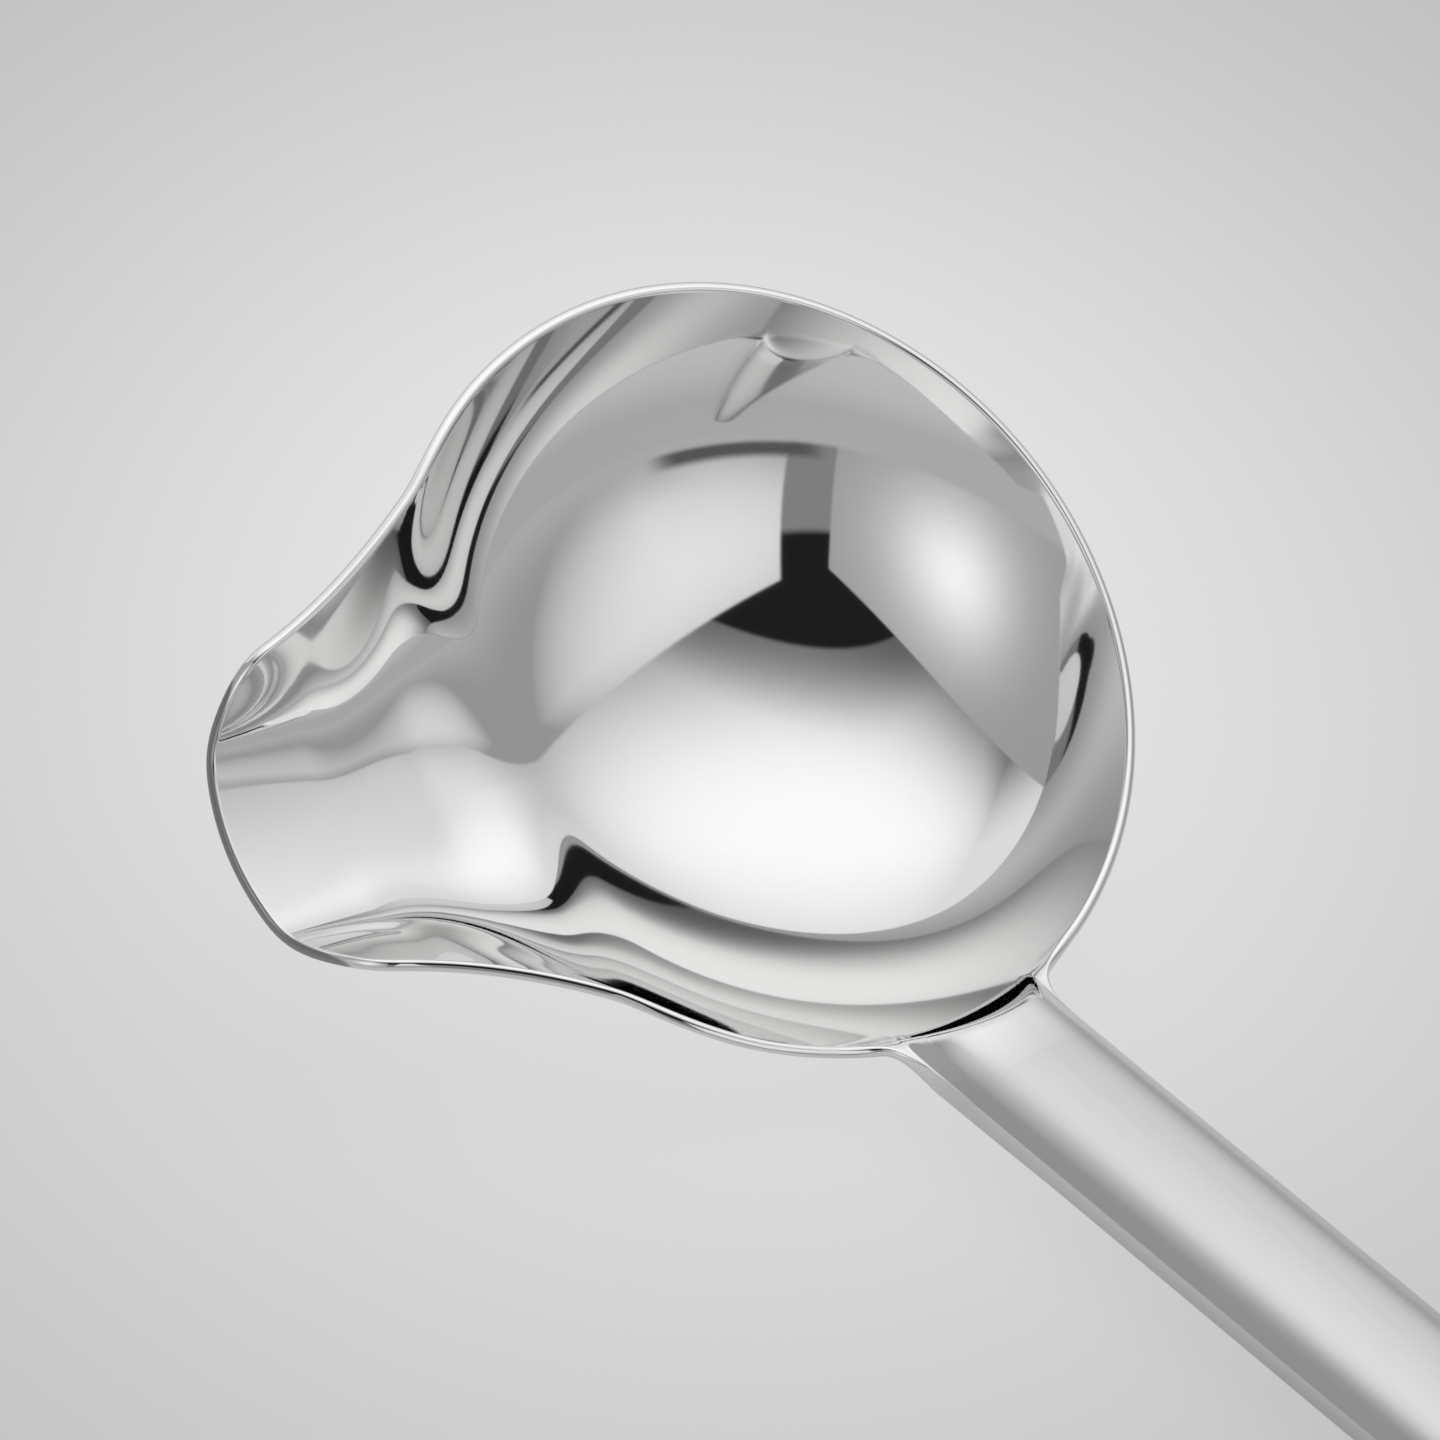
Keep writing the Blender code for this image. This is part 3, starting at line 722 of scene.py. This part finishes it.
def prism(shape, name, outline):
    """A prism through the handle, to cut the hanging end with."""
    tall = shape.handle.crown + shape.handle.side
    mesh = loft(name, [[(s, across, up) for s, across in outline] for up in (-tall, tall)])
    cutter = bpy.data.objects.new(name, mesh)
    bpy.context.scene.collection.objects.link(cutter)
    return cutter


def cut(obj, cutter, operation):
    """A Boolean modifier with a cutter."""
    modifier = obj.modifiers.new(operation.lower(), "BOOLEAN")
    modifier.operation = operation
    modifier.object = cutter
    modifier.solver = "EXACT"


def end_mesh(shape):
    """The solid end with its round tip and its eye."""
    size, handle = shape.end, shape.handle
    stations = np.linspace(shape.shell_length, handle.length, END_STATIONS)
    body = bpy.data.objects.new("end blank", loft("end blank", [end_section(shape, s) for s in stations]))
    bpy.context.scene.collection.objects.link(body)
    tip = float(shape.half_width(handle.length))
    quarter = math.pi / 2.0
    back = shape.shell_length - size.length
    outline = [(back, -tip * 2.0), (handle.length - tip, -tip * 2.0)]
    outline += arc(handle.length - tip, tip, -quarter, quarter)
    outline += [(handle.length - tip, tip * 2.0), (back, tip * 2.0)]
    round_tip = prism(shape, "tip cutter", outline)
    cut(body, round_tip, "INTERSECT")
    bend = size.eye_width / 2.0
    far = handle.length - size.eye_to_tip - bend
    near = far - (size.eye_length - size.eye_width)
    outline = arc(far, bend, -quarter, quarter) + arc(near, bend, quarter, 3.0 * quarter)
    eye = prism(shape, "eye cutter", outline)
    cut(body, eye, "DIFFERENCE")
    bevel = body.modifiers.new("rounded edges", "BEVEL")
    bevel.width = size.edge
    bevel.segments = END_SEGMENTS
    bevel.limit_method = "ANGLE"
    bevel.angle_limit = END_CORNER
    bpy.context.view_layer.update()
    graph = bpy.context.evaluated_depsgraph_get()
    mesh = bpy.data.meshes.new_from_object(body.evaluated_get(graph), depsgraph=graph)
    mesh.name = "hanging end"
    for obj in (body, round_tip, eye):
        bpy.data.objects.remove(obj, do_unlink=True)
    return mesh


class LADLE_OT_bowl(bpy.types.Operator):
    """Draw the bowl with its spout and neck from one sheet"""
    bl_idname = "ladle.bowl"
    bl_label = "Bowl"

    def execute(self, context):
        shape = LadleShape(context.scene)
        finish = context.scene.ladle_finish
        matrix = shape.rest_frame()
        material = polished_steel(shape, finish, matrix)
        new_piece("bowl", bowl_mesh(shape), material, matrix)
        return {"FINISHED"}


class LADLE_OT_handle(bpy.types.Operator):
    """Press the handle's upper shell and close it with the back plate"""
    bl_idname = "ladle.handle"
    bl_label = "Handle"

    def execute(self, context):
        shape = LadleShape(context.scene)
        finish = context.scene.ladle_finish
        matrix = shape.rest_frame() @ shape.handle_frame()
        stations = np.linspace(0.0, shape.shell_length, shape.handle.stations)
        shell = loft("handle upper shell", [shell_section(shape, s) for s in stations])
        upper = satin_steel("satin steel upper", finish, matrix, finish.brushing)
        new_piece("handle_upper_shell", shell, upper, matrix)
        plate = loft("handle back plate", [plate_section(shape, s) for s in stations])
        back = satin_steel("satin steel back", finish, matrix, finish.back_brushing)
        new_piece("handle_back_plate", plate, back, matrix)
        return {"FINISHED"}


class LADLE_OT_hanging_end(bpy.types.Operator):
    """Plug the handle with its solid end and cut the eye"""
    bl_idname = "ladle.hanging_end"
    bl_label = "Hanging end"

    def execute(self, context):
        shape = LadleShape(context.scene)
        matrix = shape.rest_frame() @ shape.handle_frame()
        finish = context.scene.ladle_finish
        material = satin_steel("satin steel end", finish, matrix, finish.brushing)
        new_piece("hanging_end", end_mesh(shape), material, matrix)
        return {"FINISHED"}


def view_axes(stage):
    """Right, up and back of the picture."""
    a, e, r = stage.view_azimuth, stage.view_elevation, stage.view_roll
    back = Vector((math.sin(a) * math.cos(e), -math.cos(a) * math.cos(e), math.sin(e)))
    level = Vector((math.cos(a), math.sin(a), 0.0))
    upright = back.cross(level)
    right = level * math.cos(r) + upright * math.sin(r)
    return right, back.cross(right), back


def add_camera(scene, shape):
    """The camera, and the place on the table that it aims at."""
    stage = scene.ladle_stage
    right, up, back = view_axes(stage)
    rim_centre = shape.rest_frame().translation
    eye = rim_centre - right * stage.aim_right - up * stage.aim_up + back * stage.view_distance
    data = bpy.data.cameras.new("camera")
    data.sensor_width = 36.0
    data.lens = stage.lens
    data.clip_start = 0.01
    camera = bpy.data.objects.new("camera", data)
    scene.collection.objects.link(camera)
    turn = Matrix((right, up, back)).transposed()
    camera.matrix_world = Matrix.Translation(eye) @ turn.to_4x4()
    scene.camera = camera
    return eye - back * (eye.z / back.z)


def add_table(scene, pool):
    """A pale round table with a painted pool of light around the ladle, darker toward its edge, that keeps a
    faint shadow.
    """
    stage = scene.ladle_stage
    bm = bmesh.new()
    bmesh.ops.create_circle(bm, cap_ends=True, segments=128, radius=stage.table_radius)
    mesh = bpy.data.meshes.new("table")
    bm.to_mesh(mesh)
    bm.free()
    table = bpy.data.objects.new("table", mesh)
    table.location = (0.0, 0.0, -TABLE_DROP)
    scene.collection.objects.link(table)

    material = bpy.data.materials.new("pale table")
    mesh.materials.append(material)
    graph = fresh_graph(material)
    x, y, _ = graph.add("ShaderNodeNewGeometry", None, None, "Position").split()
    # Painted pool of light: brightest near where the camera aims, falling to the far tone.
    c, s = math.cos(stage.view_azimuth), math.sin(stage.view_azimuth)
    wide = (x - pool.x) * c + (y - pool.y) * s
    deep = (x - pool.x) * s - (y - pool.y) * c + stage.painted_pool_shift
    deep = deep * (stage.painted_pool_squash * math.sin(stage.view_elevation))
    away = (wide * wide + deep * deep) / stage.painted_pool_radius ** 2
    fall = stage.painted_pool_fall - stage.painted_pool_fall * away.math("EXPONENT", away * -1.0)
    tone = fall.tinted(stage.table, stage.table_far)
    # Camera rays and reflections see this painted tone as glow, so the painted pool shows in both.
    camera = graph.add("ShaderNodeLightPath", None, None, "Is Camera Ray")
    glossy = camera.output("Is Glossy Ray")
    shown = camera.math("MAXIMUM", camera * stage.own_tone, glossy * stage.mirrored_tone)
    glow = graph.add("ShaderNodeEmission", None, {"Color": tone, "Strength": 1.0})
    cloth = graph.add("ShaderNodeBsdfDiffuse", None, {"Color": tone, "Roughness": 1.0})
    mixed = graph.add("ShaderNodeMixShader", None, {0: shown, 1: cloth, 2: glow})
    graph.add("ShaderNodeOutputMaterial", None, {"Surface": mixed})


def add_tent(scene):
    """A light tent: a ceiling, a back wall, a panel on either side and the dark gap around the camera."""
    tent = scene.ladle_tent
    world = bpy.data.worlds.new("light tent")
    scene.world = world
    graph = fresh_graph(world)
    x, y, z = graph.add("ShaderNodeTexCoord", None, None, "Generated").split()

    def facing(turn):
        """How far a ray points in a level direction."""
        return x * math.sin(turn) - y * math.cos(turn)

    def beside(turn):
        """How far it points to the left of that direction."""
        return x * math.cos(turn) + y * math.sin(turn)

    def toward(turn, height):
        """How nearly it points at a place of that direction and height."""
        return facing(turn) * math.cos(height) + z * math.sin(height)

    # The ceiling starts above the gap, and is shaded along it and in one corner.
    middle = facing(tent.gap_turn)
    across = beside(tent.gap_turn)
    arch = tent.gap_arch * across * across / middle.math("MAXIMUM", middle, 0.2)
    front = z - tent.gap_top * middle + arch
    ceiling = toward(tent.ceiling_turn, tent.ceiling_height)
    ceiling = ceiling.ramp(0.5, 1.0, tent.ceiling_dim, tent.ceiling_bright) * front.ramp(0.02, 0.65, 0.5, 1.0)
    corner = facing(math.radians(-50.0)).ramp(0.42, 0.68, 1.0, 0.55)
    behind = facing(tent.wall_turn)
    ceiling = ceiling * behind.ramp(0.25, 0.7, 1.0, 0.86) * corner
    wall = z.ramp(-0.1, 0.6, tent.wall_low, tent.wall_high) * behind.ramp(-0.1, 0.5)
    ceiling = ceiling.math("MAXIMUM", ceiling, wall)

    # The right panel is brightest in front of its lamp. Its top and its side at the gap are straight.
    ahead = facing(0.0)
    lamp = toward(tent.right_turn, tent.right_height)
    right = tent.right_dim + tent.right_glow * lamp.math("EXPONENT", (lamp - 1.0) * 14.0)
    right_edge = ahead.over(0.02) * (1.7 * facing(math.radians(5.0)) - z).over(0.012)
    right_edge = right_edge * (1.758 * ahead + 0.547 * z - beside(0.0)).over(0.012)

    # The left panel fades from its middle, most toward the lower corner away from the gap.
    face = facing(tent.left_turn)
    side = beside(tent.left_turn)
    clear = face.math("MAXIMUM", face, 0.05)
    u, v = side / clear, z / clear
    left = tent.left_bright - 0.44 * u * u - 1.9 * (v - 0.5) * (v - 0.5)
    left = left - 1.8 * u.math("MAXIMUM", u, 0.0) * u.math("MAXIMUM", 0.65 - v, 0.0)
    left = left.math("MAXIMUM", left, tent.left_dim)
    left_edge = face.over(0.02) * (0.78 * face - z).over(0.008)
    left_edge = left_edge * (side + 0.716 * face - 0.4 * z).over(0.01) * (2.1 * face - side).over(0.25)

    gap = z.ramp(0.40, 0.44, tent.gap_low, tent.gap_dark)
    light = gap.blend(ceiling, front.over(0.02))
    light = light.blend(right, right_edge)
    light = light.blend(left, left_edge)

    # Along the table the tent has a plain skirt, with a dark foot line on one side.
    low_side = z.ramp(-0.05, 0.25, 1.0, 0.0) * (side + 0.2 * face).over(0.15)
    light = light.blend(tent.skirt, low_side)
    light = light.blend(tent.skirt, z.ramp(-0.02, 0.02, 1.0, 0.0))
    foot = z.ramp(-0.01, 0.02) * z.ramp(0.05, 0.1, 1.0, 0.0)
    light = light.blend(tent.foot_dark, foot * facing(tent.foot_turn).ramp(0.93, 0.97)) * tent.level

    camera = graph.add("ShaderNodeLightPath", None, None, "Is Camera Ray")
    light = light.blend(scene.ladle_stage.table_far[0], camera)
    sky = graph.add("ShaderNodeBackground", None, {"Color": light, "Strength": 1.0})
    graph.add("ShaderNodeOutputWorld", None, {"Surface": sky})


class LADLE_OT_stage(bpy.types.Operator):
    """Set up the camera, the pale table and the light tent"""
    bl_idname = "ladle.stage"
    bl_label = "Stage"

    def execute(self, context):
        scene = context.scene
        scene.view_settings.view_transform = "Standard"
        # The painted pool of light on the table is centred where the camera aims.
        pool = add_camera(scene, LadleShape(scene))
        add_table(scene, pool)
        add_tent(scene)
        return {"FINISHED"}


class LADLE_PT_panel(bpy.types.Panel):
    """Sizes, finishes and steps of the sauce ladle"""
    bl_idname = "LADLE_PT_panel"
    bl_label = "Sauce ladle"
    bl_space_type = "VIEW_3D"
    bl_region_type = "UI"
    bl_category = "Ladle"

    def draw(self, context):
        for operator in OPERATORS:
            self.layout.operator(operator.bl_idname)
        for name, group in GROUPS.items():
            box = self.layout.box()
            box.label(text=group.__doc__)
            settings = getattr(context.scene, name)
            for prop in group.__annotations__:
                box.prop(settings, prop)


GROUPS = {
    "ladle_bowl": LadleBowlSizes,
    "ladle_spout": LadleSpoutSizes,
    "ladle_neck": LadleNeckSizes,
    "ladle_handle": LadleHandleSizes,
    "ladle_end": LadleEndSizes,
    "ladle_finish": LadleFinish,
    "ladle_stage": LadleStage,
    "ladle_tent": LadleTent,
}
OPERATORS = (LADLE_OT_stage, LADLE_OT_bowl, LADLE_OT_handle, LADLE_OT_hanging_end)


def register():
    for name, group in GROUPS.items():
        bpy.utils.register_class(group)
        setattr(bpy.types.Scene, name, PointerProperty(type=group))
    for kind in (*OPERATORS, LADLE_PT_panel):
        bpy.utils.register_class(kind)


def unregister():
    for kind in (LADLE_PT_panel, *OPERATORS):
        bpy.utils.unregister_class(kind)
    for name, group in GROUPS.items():
        delattr(bpy.types.Scene, name)
        bpy.utils.unregister_class(group)


def main():
    register()
    bpy.ops.ladle.stage()
    bpy.ops.ladle.bowl()
    bpy.ops.ladle.handle()
    bpy.ops.ladle.hanging_end()


if __name__ == "__main__":
    main()
